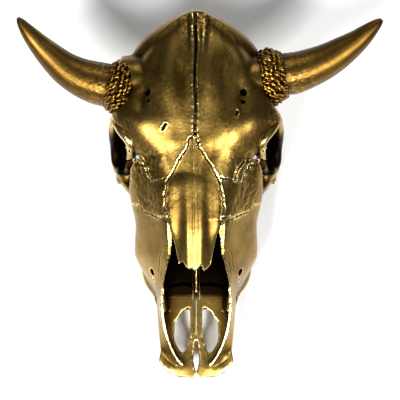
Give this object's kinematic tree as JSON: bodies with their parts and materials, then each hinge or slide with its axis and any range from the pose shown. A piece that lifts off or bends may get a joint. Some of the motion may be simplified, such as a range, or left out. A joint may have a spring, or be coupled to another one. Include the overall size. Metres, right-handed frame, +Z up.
{
  "type": "cow skull",
  "caption": "Life-size horned cow skull without its lower jaw, painted gold all over, with rough collars at the foot of each horn.",
  "frame": {"origin": "middle of the bounding box, at the floor that the skull rests on", "axes": "+Z up out of the face, +Y from the muzzle to the poll, +X towards the horn on the right of the picture"},
  "size_m": [0.4616, 0.4624, 0.1911],
  "materials": {
    "gold_bone": "metallic gold paint over bone, brown in the hollows",
    "gold_collar": "rough metallic gold paint over burr, worn brown",
    "gold_horn": "smooth metallic gold paint over horn"
  },
  "bodies": {
    "root": {"cranium": "gold_bone", "nasal_left": "gold_bone", "nasal_right": "gold_bone", "vomer": "gold_bone", "incisive_left": "gold_bone", "incisive_right": "gold_bone", "maxilla_left": "gold_bone", "maxilla_right": "gold_bone", "zygomatic_left": "gold_bone", "zygomatic_right": "gold_bone", "lacrimal_left": "gold_bone", "lacrimal_right": "gold_bone", "frontal_left": "gold_bone", "frontal_right": "gold_bone", "temporal_left": "gold_bone", "temporal_right": "gold_bone", "horn_collar_left": "gold_collar", "horn_collar_right": "gold_collar", "horn_left": "gold_horn", "horn_right": "gold_horn"}
  },
  "joints": []
}
